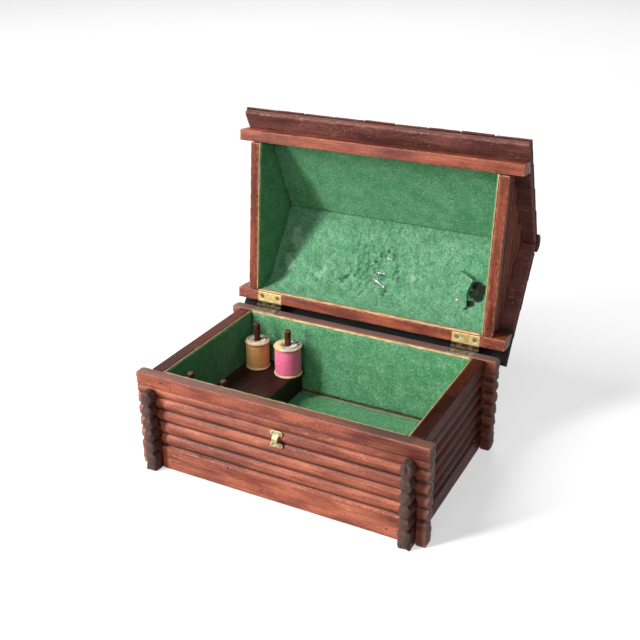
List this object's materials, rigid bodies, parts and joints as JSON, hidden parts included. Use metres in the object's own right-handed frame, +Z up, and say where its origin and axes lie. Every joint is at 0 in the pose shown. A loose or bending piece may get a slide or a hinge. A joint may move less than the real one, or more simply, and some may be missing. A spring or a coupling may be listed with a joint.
{
  "type": "sewing box",
  "caption": "Wooden sewing box shaped like a log cabin, with carved log walls, a shingled hinged roof lid, green felt lining and a peg shelf for thread spools.",
  "frame": {"origin": "middle of the floor board's underside, on the surface the box stands on", "axes": "+Z up, +Y to the rear where the lid is hinged, +X to the right seen from the front"},
  "size_m": [0.2948, 0.283, 0.2945],
  "materials": {
    "stained_pine": "stained red-brown and waxed, worn orange at the edges",
    "roof_wood": "dark stain, carved shingles",
    "dark_wood": "dark stain, bare",
    "green_felt": "matted wool felt",
    "old_brass": "dull, handled",
    "pin_steel": "bright",
    "spool_wood": "bare turned wood",
    "tan_cotton": "wound cotton",
    "pink_cotton": "wound cotton",
    "label_paper": "plain paper"
  },
  "bodies": {
    "box": {"floor_board": "stained_pine", "left_wall": "stained_pine", "right_wall": "stained_pine", "rear_wall": "stained_pine", "front_wall": "stained_pine", "floor_lining": "green_felt", "left_lining": "green_felt", "right_lining": "green_felt", "front_lining": "green_felt", "rear_lining": "green_felt", "catch_keeper": "old_brass", "keeper_pins": "old_brass", "spool_shelf": "dark_wood", "shelf_riser": "dark_wood", "shelf_cleat": "dark_wood", "peg_front_left": "dark_wood", "peg_front_right": "dark_wood", "peg_rear_left": "dark_wood", "peg_rear_right": "dark_wood", "left_hinge_lower_leaf": "old_brass", "right_hinge_lower_leaf": "old_brass", "left_hinge_pin": "old_brass", "right_hinge_pin": "old_brass", "lower_hinge_screws": "old_brass"},
    "lid": {"rear_rail": "stained_pine", "front_rail": "stained_pine", "left_gable": "stained_pine", "right_gable": "stained_pine", "front_roof": "roof_wood", "rear_roof": "roof_wood", "ridge_cap": "roof_wood", "front_slope_lining": "green_felt", "rear_slope_pad": "green_felt", "left_gable_lining": "green_felt", "right_gable_lining": "green_felt", "left_hinge_upper_leaf": "old_brass", "right_hinge_upper_leaf": "old_brass", "upper_hinge_screws": "old_brass", "felt_tab": "green_felt", "tab_tack": "old_brass", "sewing_pins": "pin_steel"},
    "tan_reel": {"tan_spool": "spool_wood", "tan_thread": "tan_cotton", "tan_label": "label_paper"},
    "pink_reel": {"pink_spool": "spool_wood", "pink_thread": "pink_cotton", "pink_label": "label_paper"}
  },
  "joints": [
    {"name": "lid_hinge", "type": "hinge", "parent": "box", "child": "lid", "pos_m": [0, 0.0918, 0.09665], "axis": [1, 0, 0], "range_deg": [0, 95]},
    {"name": "tan_reel_spin", "type": "hinge", "parent": "box", "child": "tan_reel", "pos_m": [-0.1015, 0.057, 0.06], "axis": [0, 0, 1], "continuous": true},
    {"name": "pink_reel_spin", "type": "hinge", "parent": "box", "child": "pink_reel", "pos_m": [-0.066, 0.057, 0.06], "axis": [0, 0, 1], "continuous": true}
  ]
}
